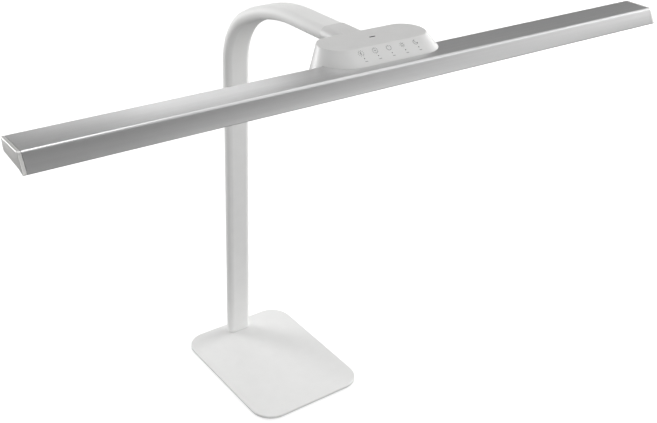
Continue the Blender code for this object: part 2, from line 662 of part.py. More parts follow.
def build_bar():
    half = BAR_LENGTH / 2
    body_half = half - CAP_LENGTH - GAP
    outside = bar_outline()
    solid = bar_section(outside, -body_half, body_half)
    body = make_object("bar_extrusion", solid, ALUMINIUM, HINGES[-1], smooth=35)
    hollow = [(0.0023, BAR_WALL), (0.0343, BAR_WALL), (0.0360, 0.0024), (0.0433, 0.0158), (0.0368, 0.0139),
              (0.0068, 0.0113), (0.0048, 0.0110), (0.0038, 0.0100), (0.0017, 0.0024)]
    cut(body, bar_section(hollow, -half, half))
    slot = [(0.0080, 0.0100), (0.0368, 0.0120), (0.0368, 0.0200), (0.0080, 0.0200)]
    cut(body, bar_section(slot, -half, half))
    for x in HEAD_SCREW_X:
        cut(body, vertical_rod(x, HEAD_SCREW_Y, 0.0018, BAR_TOP - 0.004, BAR_TOP + 0.002, 16))
    hang(body, HINGE_COUNT)

    nut = [(0.0030, 0.0018), (0.0150, 0.0018), (0.0150, 0.0047), (0.0030, 0.0047)]
    nut_plate = make_object("bar_nut_plate", bar_section(nut, -0.050, 0.050), STEEL, HINGES[-1])
    for x in HEAD_SCREW_X:
        cut(nut_plate, vertical_rod(x, HEAD_SCREW_Y, 0.0018, BAR_TOP - 0.007, BAR_TOP, 16))
    hang(nut_plate, HINGE_COUNT)

    inner_half = body_half - 0.006
    tray = [(0.0050, 0.0090), (0.0082, 0.0053), (0.0290, 0.0053), (0.0385, 0.0116), (0.0381, 0.0121),
            (0.0288, 0.0059), (0.0085, 0.0059), (0.0055, 0.0094)]
    solid = bar_section(tray, -inner_half, inner_half)
    hang(make_object("reflector_tray", solid, WHITE_PLASTIC, HINGES[-1]), HINGE_COUNT)

    diffuser = [(0.0056, 0.0097), (0.0380, 0.0125), (0.0379, 0.0136), (0.0055, 0.0108)]
    solid = bar_section(diffuser, -inner_half, inner_half)
    hang(make_object("diffuser", solid, DIFFUSER, HINGES[-1]), HINGE_COUNT)
    build_led_board(inner_half - 0.004)
    for side, name in ((-1, "end_cap_left"), (1, "end_cap_right")):
        build_end_cap(name, side, outside)


def build_led_board(half_length):
    board_low, board_high, chip_low = (BAR_TOP - drop for drop in (0.0072, 0.0062, 0.0080))
    back_y, front_y = (BAR_BACK_Y - reach for reach in (0.0120, 0.0260))
    strip = upright_prism(box_outline(-half_length, half_length, front_y, back_y), board_low, board_high)
    board = make_object("led_board", strip, WHITE_BOARD, HINGES[-1])
    pitch = 2 * half_length / LED_COUNT
    comb = [(-half_length + 0.001, board_high - 0.0002), (-half_length + 0.001, board_low + 0.0002)]
    for number in range(LED_COUNT):
        x = -half_length + (number + 0.5) * pitch
        comb += [(x - 0.0015, board_low + 0.0002), (x - 0.0015, chip_low), (x + 0.0015, chip_low),
                 (x + 0.0015, board_low + 0.0002)]
    comb += [(half_length - 0.001, board_low + 0.0002), (half_length - 0.001, board_high - 0.0002)]
    middle = (back_y + front_y) / 2
    add(board, loft([[(x, y, z) for x, z in comb] for y in (middle + 0.0015, middle - 0.0015)]))
    hang(board, HINGE_COUNT)


def build_end_cap(name, side, outside):
    outer_x = side * BAR_LENGTH / 2
    inner_x = side * (BAR_LENGTH / 2 - CAP_LENGTH)
    low, high = sorted((outer_x, inner_x))
    cap = make_object(name, bar_section(outside, low, high), SILVER_PLASTIC, HINGES[-1], smooth=35)
    bevel(cap, 0.0004, segments=1)
    low, high = sorted((inner_x + side * 0.001, inner_x - side * 0.0050))
    tenon = [(0.0110, 0.0018), (0.0290, 0.0018), (0.0290, 0.0046), (0.0110, 0.0046)]
    add(cap, bar_section(tenon, low, high))
    hang(cap, HINGE_COUNT)


# ---- assembly --------------------------------------------------------------------------------------------
for old in list(bpy.data.objects):
    bpy.data.objects.remove(old, do_unlink=True)

WHITE_STEEL = make_material("white_powder_coat", (0.83, 0.83, 0.82), 0.50)
WHITE_PLASTIC = make_material("white_plastic", (0.84, 0.84, 0.83), 0.42)
GREY_PLASTIC = make_material("pale_grey_plastic", (0.62, 0.61, 0.60), 0.50)
SILVER_PLASTIC = make_material("silver_grey_plastic", (0.62, 0.62, 0.61), 0.42)
SILICONE = make_material("white_silicone", (0.80, 0.80, 0.79), 0.60)
ALUMINIUM = make_material("satin_aluminium", (0.66, 0.66, 0.66), 0.35, 1.0)
STEEL = make_material("zinc_plated_steel", (0.55, 0.55, 0.56), 0.35, 1.0)
ZINC = make_material("die_cast_zinc", (0.60, 0.60, 0.61), 0.45, 1.0)
RUBBER = make_material("black_foam_rubber", (0.03, 0.03, 0.03), 0.85)
BLACK_PLASTIC = make_material("black_plastic", (0.03, 0.03, 0.03), 0.45)
DARK_ACRYLIC = make_material("smoked_acrylic", (0.05, 0.05, 0.06), 0.15)
DIFFUSER = make_material("opal_acrylic", (0.90, 0.90, 0.88), 0.45)
GREEN_BOARD = make_material("green_circuit_board", (0.02, 0.20, 0.08), 0.45)
WHITE_BOARD = make_material("white_circuit_board", (0.85, 0.85, 0.83), 0.45)

PIVOTS = make_pivots()

build_base()
build_post()
build_neck()
build_hub_shell()
build_hub_top()
build_hub_underside()
build_boards()
build_carrier()
build_collar()
build_bar()
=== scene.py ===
import json
import math

import bmesh
import bpy
from mathutils import Matrix, Vector


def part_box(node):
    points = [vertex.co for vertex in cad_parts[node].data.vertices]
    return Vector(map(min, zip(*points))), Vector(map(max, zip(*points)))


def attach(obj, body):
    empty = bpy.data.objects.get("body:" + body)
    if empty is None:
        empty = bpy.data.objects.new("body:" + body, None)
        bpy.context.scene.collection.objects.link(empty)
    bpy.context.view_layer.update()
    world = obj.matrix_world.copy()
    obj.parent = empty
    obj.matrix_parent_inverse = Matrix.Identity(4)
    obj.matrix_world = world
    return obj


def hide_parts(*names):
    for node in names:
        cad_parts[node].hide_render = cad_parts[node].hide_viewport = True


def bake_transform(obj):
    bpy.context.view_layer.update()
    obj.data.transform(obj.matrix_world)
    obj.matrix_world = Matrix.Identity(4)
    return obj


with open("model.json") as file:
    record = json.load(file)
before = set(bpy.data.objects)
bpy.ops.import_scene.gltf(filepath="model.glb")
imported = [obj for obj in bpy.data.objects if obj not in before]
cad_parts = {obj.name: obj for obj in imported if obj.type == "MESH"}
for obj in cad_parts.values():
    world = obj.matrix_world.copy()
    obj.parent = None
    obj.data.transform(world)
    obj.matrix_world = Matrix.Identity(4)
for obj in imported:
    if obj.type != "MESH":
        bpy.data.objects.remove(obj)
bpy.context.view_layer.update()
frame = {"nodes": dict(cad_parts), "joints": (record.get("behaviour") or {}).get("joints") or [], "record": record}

# Looks of a desk lamp with a long light bar. Metres, +Z up; +X runs along the bar and -Y points to the user.
# Places and sizes are read from the CAD nodes' boxes; what the boxes can't tell is named here.

GAP = 0.0003
SEAM = 0.00005
PAST_FACE = 0.001
CUTTER_HALF_LENGTH = 0.1

BASE_CORNER = 0.030
BASE_LOWER_EDGE = 0.0006
BASE_UPPER_EDGE = 0.0011
TUBE_WALL = 0.0013
TUBE_EDGE = 0.0004
FLANGE_EDGE = 0.0006
PLUG_DEPTH = 0.030

SLEEVE_WALL = 0.0020
TIGHT_RADIUS = 0.0806
TIGHT_TURN = math.radians(61.0)
STRAIGHT_LENGTH = 0.0531
HINGE_PITCH = 0.0515
HINGE_COUNT = 6
LINK_EYE_RADIUS = 0.0050
LINK_HALF_WIDTH = 0.0073
LINK_HALF_DEPTH = 0.0030
COLLAR_WALL = 0.0018
COLLAR_MOUTH = 0.0036
COLLAR_EDGE = 0.0004

HUB_RIM = (0.0671, 0.0225, -0.1822)
HUB_SKIRT = (0.0756, 0.0310, -0.1909)
HUB_WALL = 0.0020
HUB_PLATE = 0.0011
COVER_PLATE = 0.0018
COVER_CLEARANCE = 0.0007
COVER_WALL_TOP = 0.5200

ICON_NAMES = ("warmth", "dimmer", "power", "brighter", "night")
ICON_PITCH = 0.018
ICON_ALONG_PANEL = 0.0156
INK_WIDTH = 0.00042
INK_HEIGHT = 0.00004
INK_SINK = 0.00002
DOT_ALONG_PANEL = 0.0092
DOT_OFFSET = 0.0010
DOT_RADIUS = 0.0005
DOT_HOLE_RADIUS = 0.0007
DASH_ALONG_PANEL = 0.0055
DASH_OFFSET = 0.0016
DASH_LENGTH = 0.0034
DASH_WIDTH = 0.00075

BAR_TOP_WIDTH = 0.0367
BAR_REACH = 0.0460
BAR_DROP = 0.0175
BAR_WALL = 0.0015
BAR_FRONT_ROUND = 0.0046
BAR_EDGE_ROUND = 0.0010
BAR_FOOT_ROUND = 0.0026
HEAD_SCREW_COUNT = 4
HEAD_SCREW_HOLE_RADIUS = 0.0018
CAP_LENGTH = 0.0034
CAP_RIM_RADIUS = 0.0007
CAP_TENON_LENGTH = 0.0050

HEAD_BODY = "head"
STAND_BODY = "stand"


class Box:
    """Bounding box of a CAD node."""

    def __init__(self, node):
        self.low, self.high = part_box(node)
        self.middle = (self.low + self.high) / 2
        self.size = self.high - self.low


BASE = Box("base_plate")
POST = Box("post_tube")
FIRST_SLEEVE = Box("neck_sleeve_0")
COLLAR = Box("neck_collar")
SHELL = Box("hub_shell")
BAR = Box("bar_extrusion")

NECK_START_Z = FIRST_SLEEVE.low.z - GAP
NECK_END_Z = Box("neck_sleeve_6").middle.z
SLEEVE_WIDTH = FIRST_SLEEVE.size.x
SLEEVE_DEPTH = FIRST_SLEEVE.size.y
BEND_START_Z = NECK_START_Z + STRAIGHT_LENGTH
TIGHT_RISE = TIGHT_RADIUS * math.sin(TIGHT_TURN)
WIDE_RADIUS = (NECK_END_Z - BEND_START_Z - TIGHT_RISE) / (1 - math.sin(TIGHT_TURN))
TIGHT_LENGTH = TIGHT_RADIUS * TIGHT_TURN
WIDE_LENGTH = WIDE_RADIUS * (math.pi / 2 - TIGHT_TURN)

HUB_RIM_Z = Box("hub_top_plate").high.z
HUB_SKIRT_Z = BAR.high.z + GAP
HUB_BOTTOM_Z = SHELL.low.z
BAR_TOP = BAR.high.z
BAR_BACK_Y = BAR.high.y
BAR_END_X = Box("end_cap_right").high.x


# ---- outlines --------------------------------------------------------------------------------------------
def arc(centre, radius, start, end, steps):
    """Points of an arc from start to end, in degrees, both ends included."""
    points = []
    for i in range(steps + 1):
        angle = math.radians(start + (end - start) * i / steps)
        points.append((centre[0] + radius * math.cos(angle), centre[1] + radius * math.sin(angle)))
    return points


def rectangle(left, bottom, right, top):
    return [(left, bottom), (right, bottom), (right, top), (left, top)]


def rounded_rectangle(width, depth, radius, steps=24):
    x = width / 2 - radius
    y = depth / 2 - radius
    points = []
    for quarter, (sx, sy) in enumerate(((1, 1), (-1, 1), (-1, -1), (1, -1))):
        points += arc((sx * x, sy * y), radius, 90 * quarter, 90 * quarter + 90, steps)
    return points


def stadium(width, depth, steps=32):
    """Flat oval with round ends, counter-clockwise."""
    radius = depth / 2
    reach = width / 2 - radius
    return arc((reach, 0), radius, -90, 90, steps) + arc((-reach, 0), radius, 90, 270, steps)


def rounded_profile(low, high, bottom, top, steps=5):
    """(inset, height) pairs up a wall whose lower and upper edges are rounded with these radii."""
    flat = 1.6
    pairs = []
    if bottom > 0:
        turn = arc((bottom, low + bottom), bottom, 270, 180, steps)
        pairs += [(bottom * flat, low)] + turn
    else:
        pairs.append((0.0, low))
    if top > 0:
        turn = arc((top, high - top), top, 180, 90, steps)
        pairs += turn + [(top * flat, high)]
    else:
        pairs.append((0.0, high))
    return pairs


# ---- solids ----------------------------------------------------------------------------------------------
def loft(rings, closed=False):
    """Solid through equal rings: capped at both ends, or closed round from the last ring to the first."""
    solid = bmesh.new()
    loops = [[solid.verts.new(point) for point in ring] for ring in rings]
    count = len(loops[0])
    pairs = list(zip(loops, loops[1:]))
    if closed:
        pairs.append((loops[-1], loops[0]))
    for lower, upper in pairs:
        for i in range(count):
            j = (i + 1) % count
            solid.faces.new((lower[i], lower[j], upper[j], upper[i]))
    if not closed:
        solid.faces.new(reversed(loops[0]))
        solid.faces.new(loops[-1])
    bmesh.ops.recalc_face_normals(solid, faces=solid.faces)
    return solid


def upright(outline, z):
    """Ring of an XY outline at a height."""
    return [(x, y, z) for x, y in outline]


def prism_along_x(outline, low=-CUTTER_HALF_LENGTH, high=CUTTER_HALF_LENGTH):
    """Solid with a YZ outline, from one X to another."""
    return loft([[(x, y, z) for y, z in outline] for x in (low, high)])


def rod_along_x(y, z, radius, half_length, steps=32):
    return prism_along_x(arc((y, z), radius, 0, 360, steps)[:-1], -half_length, half_length)


def lathe(profile, steps=48):
    """Solid turned about Z from (radius, height) pairs that start and end on the axis."""
    solid = bmesh.new()
    verts = [solid.verts.new((radius, 0.0, height)) for radius, height in profile]
    edges = [solid.edges.new(pair) for pair in zip(verts, verts[1:])]
    bmesh.ops.spin(solid, geom=verts + edges, cent=(0, 0, 0), axis=(0, 0, 1), angle=2 * math.pi, steps=steps)
    bmesh.ops.remove_doubles(solid, verts=solid.verts, dist=0.000005)
    bmesh.ops.recalc_face_normals(solid, faces=solid.faces)
    return solid


def drill(radius, low, high, steps=32):
    """Round cutter on the Z axis."""
    return lathe([(0, low), (radius, low), (radius, high), (0, high)], steps)


def stepped_drill(head_radius, head_depth, shank_radius, depth):
    """Cutter for a screw seat that opens downward at z = 0."""
    return lathe([(0, -PAST_FACE), (head_radius, -PAST_FACE), (head_radius, head_depth),
                  (shank_radius, head_depth), (shank_radius, depth), (0, depth)])


def moved(solid, matrix):
    solid.transform(matrix)
    return solid


# ---- pieces ----------------------------------------------------------------------------------------------
def make_mesh_object(name, solid, material=None, smooth=35):
    mesh = bpy.data.meshes.new(name)
    solid.to_mesh(mesh)
    solid.free()
    if material is not None:
        mesh.materials.append(material)
    mesh.shade_smooth()
    mesh.set_sharp_from_angle(angle=math.radians(smooth))
    item = bpy.data.objects.new(name, mesh)
    bpy.context.scene.collection.objects.link(item)
    return item


def combine(item, solid, operation, smooth=35):
    """Exact union or difference with a solid, applied to the mesh."""
    tool = make_mesh_object("tool", solid)
    modifier = item.modifiers.new("cut", "BOOLEAN")
    modifier.operation = operation
    modifier.solver = "EXACT"
    modifier.object = tool
    freeze(item)
    bpy.data.objects.remove(tool, do_unlink=True)
    item.data.shade_smooth()
    item.data.set_sharp_from_angle(angle=math.radians(smooth))


def freeze(item):
    """Applies the modifiers of an object."""
    evaluated = item.evaluated_get(bpy.context.evaluated_depsgraph_get())
    mesh = bpy.data.meshes.new_from_object(evaluated)
    item.modifiers.clear()
    item.data = mesh


def soften(item, width, segments=3, angle=38):
    """Rounds the sharp edges of an object."""
    modifier = item.modifiers.new("soft_edges", "BEVEL")
    modifier.width = width
    modifier.segments = segments
    modifier.limit_method = "ANGLE"
    modifier.angle_limit = math.radians(angle)
    modifier.use_clamp_overlap = True
    modifier.harden_normals = True


def place(item, body, replaces=()):
    """Fixes a piece to its body and the CAD nodes that it stands for."""
    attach(item, body)
    if replaces:
        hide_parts(*replaces)


# ---- materials -------------------------------------------------------------------------------------------
class Finish:
    """Principled material with procedural detail in the object's own coordinates."""

    def __init__(self, name, colour, roughness, metallic=0.0):
        self.material = bpy.data.materials.new(name)
        self.material.use_nodes = True
        self.nodes = self.material.node_tree.nodes
        self.links = self.material.node_tree.links
        self.shader = self.nodes["Principled BSDF"]
        self.shader.inputs["Base Color"].default_value = (*colour, 1.0)
        self.shader.inputs["Roughness"].default_value = roughness
        self.shader.inputs["Metallic"].default_value = metallic
        self.colour = colour
        self.roughness = roughness
        self.place = self.nodes.new("ShaderNodeTexCoord").outputs["Object"]
        self.last_bump = None

    def set(self, socket, value):
        self.shader.inputs[socket].default_value = value
        return self

    def stretched(self, scale):
        """The coordinates, scaled by a different amount along each axis."""
        mapping = self.nodes.new("ShaderNodeMapping")
        mapping.inputs["Scale"].default_value = scale
        self.links.new(self.place, mapping.inputs["Vector"])
        return mapping.outputs["Vector"]

    def noise(self, scale, detail=3.0, roughness=0.5, vector=None):
        texture = self.nodes.new("ShaderNodeTexNoise")
        texture.inputs["Scale"].default_value = scale
        texture.inputs["Detail"].default_value = detail
        texture.inputs["Roughness"].default_value = roughness
        self.links.new(self.place if vector is None else vector, texture.inputs["Vector"])
        return texture.outputs["Fac"]

    def cells(self, scale, feature="F1"):
        texture = self.nodes.new("ShaderNodeTexVoronoi")
        texture.feature = feature
        texture.inputs["Scale"].default_value = scale
        self.links.new(self.place, texture.inputs["Vector"])
        return texture.outputs["Distance"]

    def ramp(self, value, low, high, start=0.3, end=0.7):
        """The value, mapped from start..end to low..high."""
        node = self.nodes.new("ShaderNodeMapRange")
        node.inputs["From Min"].default_value = start
        node.inputs["From Max"].default_value = end
        node.inputs["To Min"].default_value = low
        node.inputs["To Max"].default_value = high
        self.links.new(value, node.inputs["Value"])
        return node.outputs["Result"]

    def vary_roughness(self, value, spread):
        mapped = self.ramp(value, self.roughness - spread, self.roughness + spread)
        self.links.new(mapped, self.shader.inputs["Roughness"])
        return self

    def vary_colour(self, value, low, high, start=0.3, end=0.7):
        """Blends two shades of the colour, given as factors of it."""
        mix = self.nodes.new("ShaderNodeMix")
        mix.data_type = "RGBA"
        mix.inputs["A"].default_value = (*(channel * low for channel in self.colour), 1.0)
        mix.inputs["B"].default_value = (*(min(1.0, channel * high) for channel in self.colour), 1.0)
        self.links.new(self.ramp(value, 0.0, 1.0, start, end), mix.inputs["Factor"])
        self.links.new(mix.outputs["Result"], self.shader.inputs["Base Color"])
        return self

    def bump(self, value, strength, distance):
        node = self.nodes.new("ShaderNodeBump")
        node.inputs["Strength"].default_value = strength
        node.inputs["Distance"].default_value = distance
        self.links.new(value, node.inputs["Height"])
        if self.last_bump is not None:
            self.links.new(self.last_bump, node.inputs["Normal"])
        self.last_bump = node.outputs["Normal"]
        self.links.new(self.last_bump, self.shader.inputs["Normal"])
        return self


def powder_coat():
    """White powder coat: fine orange peel, and a slightly uneven sheen."""
    finish = Finish("powder_coat_white", (0.785, 0.785, 0.778), 0.45)
    finish.vary_colour(finish.noise(60.0), low=0.985, high=1.01)
    finish.vary_roughness(finish.noise(240.0), spread=0.06)
    finish.bump(finish.noise(1100.0, detail=2.0), strength=0.22, distance=0.00012)
    return finish.bump(finish.noise(3600.0, detail=1.0), strength=0.12, distance=0.00004).material


def moulded_white():
    """White ABS with a fine spark-eroded mould texture."""
    finish = Finish("abs_white", (0.70, 0.70, 0.694), 0.40)
    finish.set("IOR", 1.53)
    finish.vary_colour(finish.noise(45.0), low=0.99, high=1.008)
    finish.vary_roughness(finish.noise(900.0), spread=0.05)
    return finish.bump(finish.noise(4200.0, detail=2.0), strength=0.16, distance=0.00005).material


def moulded_grey():
    """Pale grey touch plate, satin, with a fine even grain."""
    finish = Finish("abs_pale_grey", (0.71, 0.707, 0.70), 0.46)
    finish.vary_colour(finish.noise(70.0), low=0.985, high=1.012)
    finish.vary_roughness(finish.noise(800.0), spread=0.05)
    return finish.bump(finish.noise(4800.0, detail=2.0), strength=0.18, distance=0.00005).material


def moulded_silver():
    """Silver-grey paint on the bar's end caps: finely flaked and satin."""
    finish = Finish("abs_silver_grey", (0.72, 0.715, 0.70), 0.50, metallic=0.8)
    finish.vary_colour(finish.noise(5000.0, detail=1.0), low=0.94, high=1.06)
    finish.vary_roughness(finish.noise(900.0), spread=0.05)
    return finish.bump(finish.noise(4200.0, detail=2.0), strength=0.14, distance=0.00004).material


def silicone():
    """Matt white silicone skin with a soft sheen and a faint pebble."""
    finish = Finish("silicone_white", (0.84, 0.84, 0.83), 0.56)
    finish.set("Sheen Weight", 0.12)
    finish.set("Sheen Roughness", 0.5)
    finish.set("IOR", 1.41)
    finish.vary_colour(finish.noise(35.0), low=0.985, high=1.01)
    finish.vary_roughness(finish.noise(500.0), spread=0.05)
    finish.bump(finish.cells(1500.0), strength=0.10, distance=0.00006)
    return finish.bump(finish.noise(3000.0, detail=2.0), strength=0.12, distance=0.00004).material


def anodised():
    """Silver anodised extrusion: hair-fine die lines along the bar under a satin etch."""
    finish = Finish("anodised_silver", (0.668, 0.668, 0.668), 0.34, metallic=1.0)
    lines = finish.noise(1.0, detail=3.0, roughness=0.6, vector=finish.stretched((6.0, 2600.0, 2600.0)))
    wide_lines = finish.noise(1.0, detail=2.0, roughness=0.5, vector=finish.stretched((2.0, 420.0, 420.0)))
    finish.vary_colour(wide_lines, low=0.975, high=1.015)
    finish.vary_roughness(finish.noise(1400.0, detail=3.0), spread=0.05)
    finish.bump(lines, strength=0.10, distance=0.00005)
    return finish.bump(finish.noise(5200.0, detail=2.0), strength=0.16, distance=0.00003).material


def zinc_plate():
    """Bright zinc plating with the soft blotches of a passivated barrel finish."""
    finish = Finish("zinc_plate", (0.60, 0.61, 0.63), 0.32, metallic=1.0)
    finish.vary_colour(finish.noise(520.0), low=0.9, high=1.06)
    finish.vary_roughness(finish.noise(700.0), spread=0.08)
    return finish.bump(finish.noise(2600.0, detail=2.0), strength=0.15, distance=0.00004).material


def cast_zinc():
    """Die-cast zinc, as it leaves the die and the tumbler."""
    finish = Finish("zinc_casting", (0.56, 0.56, 0.57), 0.48, metallic=1.0)
    finish.vary_colour(finish.noise(300.0), low=0.9, high=1.05)
    finish.vary_roughness(finish.noise(900.0), spread=0.08)
    return finish.bump(finish.cells(1300.0), strength=0.25, distance=0.00008).material


def foam_rubber():
    """Black closed-cell foam with open pores on its cut face; the pits of the pores are painted darker, as painted
    shade.
    """
    finish = Finish("foam_rubber_black", (0.028, 0.028, 0.029), 0.88)
    # painted shade: darker colour in the pits of the pores
    finish.vary_colour(finish.cells(1500.0), low=0.6, high=1.5, start=0.1, end=0.6)
    return finish.bump(finish.cells(1500.0), strength=0.7, distance=0.0002).material


def moulded_black():
    """Black nylon with a fine moulded grain."""
    finish = Finish("nylon_black", (0.024, 0.024, 0.025), 0.42)
    finish.vary_colour(finish.noise(400.0), low=0.85, high=1.2)
    finish.vary_roughness(finish.noise(900.0), spread=0.06)
    return finish.bump(finish.noise(3800.0, detail=2.0), strength=0.2, distance=0.00005).material


def smoked_acrylic():
    """Smoked lens: dark and clear-glossy, with the slight waviness of moulded acrylic."""
    finish = Finish("acrylic_smoked", (0.045, 0.045, 0.05), 0.12)
    finish.set("IOR", 1.49)
    finish.set("Coat Weight", 0.3)
    finish.vary_colour(finish.noise(600.0), low=0.8, high=1.25)
    return finish.bump(finish.noise(500.0, detail=1.0), strength=0.05, distance=0.00005).material


def opal_acrylic():
    """Opal diffuser: milky, with a fine matt prismatic rib along its length."""
    finish = Finish("acrylic_opal", (0.90, 0.90, 0.885), 0.42)
    finish.set("IOR", 1.49)
    finish.set("Subsurface Weight", 0.25)
    finish.set("Subsurface Radius", (0.004, 0.004, 0.0035))
    finish.vary_colour(finish.noise(40.0), low=0.98, high=1.01)
    lines = finish.noise(1.0, detail=2.0, roughness=0.5, vector=finish.stretched((3.0, 1400.0, 1400.0)))
    return finish.bump(lines, strength=0.15, distance=0.00006).material


def solder_mask(name, colour):
    """Circuit board: solder mask over faintly raised copper."""
    finish = Finish(name, colour, 0.36)
    copper = finish.cells(420.0, "DISTANCE_TO_EDGE")
    finish.vary_colour(copper, low=0.75, high=1.15, start=0.02, end=0.10)
    return finish.bump(copper, strength=0.25, distance=0.00005).material


def printed_ink(name, colour):
    """Pad-printed ink, slightly uneven in its cover."""
    finish = Finish(name, colour, 0.55)
    finish.vary_colour(finish.noise(2500.0), low=0.8, high=1.3)
    return finish.bump(finish.noise(5000.0, detail=1.0), strength=0.1, distance=0.00003).material


def floor_finish():
    """Plain pale studio floor with a barely uneven matt surface."""
    finish = Finish("studio_floor", (0.40, 0.40, 0.40), 0.9)
    finish.set("Emission Color", (1.0, 1.0, 1.0, 1.0))
    finish.set("Emission Strength", 0.72)
    finish.set("Specular IOR Level", 0.1)
    return finish.vary_colour(finish.noise(3.0), low=0.998, high=1.002).material


POWDER_COAT = powder_coat()
WHITE_PLASTIC = moulded_white()
GREY_PLASTIC = moulded_grey()
SILVER_PLASTIC = moulded_silver()
SILICONE = silicone()
ALUMINIUM = anodised()
STEEL = zinc_plate()
ZINC = cast_zinc()
FOAM = foam_rubber()
BLACK_PLASTIC = moulded_black()
DARK_ACRYLIC = smoked_acrylic()
OPAL = opal_acrylic()
GREEN_BOARD = solder_mask("solder_mask_green", (0.018, 0.17, 0.07))
WHITE_BOARD = solder_mask("solder_mask_white", (0.82, 0.82, 0.80))
INK = printed_ink("ink_dark_grey", (0.10, 0.10, 0.105))
PALE_INK = printed_ink("ink_pale_grey", (0.30, 0.30, 0.305))


# ---- base and post ---------------------------------------------------------------------------------------
def build_base():
    """Plate with a rounded rim and two countersunk screw seats in its underside."""
    rings = []
    for inset, z in rounded_profile(BASE.low.z, BASE.high.z, BASE_LOWER_EDGE, BASE_UPPER_EDGE):
        outline = rounded_rectangle(BASE.size.x - 2 * inset, BASE.size.y - 2 * inset, BASE_CORNER - inset)
        rings.append(upright(outline, z))
    plate = make_mesh_object("base_plate_coated", loft(rings), POWDER_COAT)
    for side in ("left", "right"):
        screw = Box(f"base_screw_{side}").middle
        seat = stepped_drill(head_radius=0.0043, head_depth=0.0018, shank_radius=0.0023, depth=0.006)
        combine(plate, moved(seat, Matrix.Translation((screw.x, screw.y, BASE.low.z))), "DIFFERENCE")
    place(plate, STAND_BODY, ["base_plate"])


def tube_rings(outline_at, start, end, edge, steps=4):
    """Rings of a pipe with rounded ends; outline_at(inset, height) gives a ring of its outer wall."""
    rings = []
    for i in range(steps + 1):
        turn = math.radians(90 * i / steps)
        rings.append(outline_at(edge * (1 - math.sin(turn)), start + edge * (1 - math.cos(turn))))
    for i in range(steps + 1):
        turn = math.radians(90 * i / steps)
        rings.append(outline_at(edge * (1 - math.cos(turn)), end - edge * (1 - math.sin(turn))))
    return rings


def build_post():
    """Flat-oval tube with a round hole for the power inlet, low on its back."""
    def wall(inset, z):
        points = stadium(POST.size.x - 2 * inset, POST.size.y - 2 * inset)
        return [(POST.middle.x + x, POST.middle.y + y, z) for x, y in points]

    outer = tube_rings(wall, POST.low.z, POST.high.z, TUBE_EDGE)
    inner = [wall(TUBE_WALL, POST.high.z), wall(TUBE_WALL, POST.low.z)]
    tube = make_mesh_object("post_tube_coated", loft(outer + inner, closed=True), POWDER_COAT)

    inlet = Box("dc_inlet")
    out_of_back = Matrix.Translation((inlet.middle.x, POST.high.y, inlet.middle.z))
    out_of_back @= Matrix.Rotation(-math.pi / 2, 4, "X")
    barrel = 0.0054
    reach = 0.003
    combine(tube, moved(drill(barrel + GAP, -reach, reach, 48), out_of_back), "DIFFERENCE")
    place(tube, STAND_BODY, ["post_tube"])
    build_inlet(inlet, out_of_back, barrel)


def build_inlet(box, out_of_back, barrel):
    """Round power inlet: a flanged barrel with a rounded mouth, and the pin in its bore."""
    flange = box.size.x / 2
    lip = box.high.y - POST.high.y
    inner_end = box.low.y - POST.high.y
    bore = 0.00275
    floor = -0.0085
    rim_round = 0.0005
    mouth_round = 0.0004
    face = 0.0010
    profile = [(0, inner_end), (barrel, inner_end), (barrel, GAP), (flange, GAP)]
    profile += arc((flange - rim_round, lip - rim_round), rim_round, 0, 90, 5)
    profile += [(bore + face, lip)]
    profile += arc((bore + mouth_round, lip - mouth_round), mouth_round, 90, 180, 4)[1:]
    profile += [(bore, floor), (0, floor)]
    socket = make_mesh_object("dc_inlet_socket", moved(lathe(profile), out_of_back), BLACK_PLASTIC)
    place(socket, STAND_BODY, ["dc_inlet"])

    radius = 0.0010
    nose_round = 0.0006
    shoulder = -0.0014
    foot = floor - GAP
    nose = arc((radius - nose_round, shoulder), nose_round, 0, 90, 4)
    profile = [(0, foot), (radius, foot), (radius, shoulder)] + nose + [(0, shoulder + nose_round)]
    pin = make_mesh_object("dc_inlet_pin", moved(lathe(profile, 24), out_of_back), STEEL)
    place(pin, STAND_BODY)


# ---- neck ------------------------------------------------------------------------------------------------
def centreline(s):
    """Point of the neck's centreline and its heading, s along it; heading 0 is up, a quarter turn is -Y."""
    if s <= STRAIGHT_LENGTH:
        return POST.middle.y, NECK_START_Z + s, 0.0
    s -= STRAIGHT_LENGTH
    turn = min(s / TIGHT_RADIUS, TIGHT_TURN)
    y = POST.middle.y - TIGHT_RADIUS * (1 - math.cos(turn))
    z = BEND_START_Z + TIGHT_RADIUS * math.sin(turn)
    if s <= TIGHT_LENGTH:
        return y, z, turn
    s -= TIGHT_LENGTH
    heading = min(TIGHT_TURN + s / WIDE_RADIUS, math.pi / 2)
    y -= WIDE_RADIUS * (math.cos(TIGHT_TURN) - math.cos(heading))
    z += WIDE_RADIUS * (math.sin(heading) - math.sin(TIGHT_TURN))
    if s > WIDE_LENGTH:
        y -= s - WIDE_LENGTH
    return y, z, heading


def neck_ring(s, inset):
    """Ring of the sleeve's flat-oval section, square to the centreline."""
    y, z, heading = centreline(s)
    ring = []
    for x, offset in stadium(SLEEVE_WIDTH - 2 * inset, SLEEVE_DEPTH - 2 * inset):
        ring.append((x, y + offset * math.cos(heading), z + offset * math.sin(heading)))
    return ring


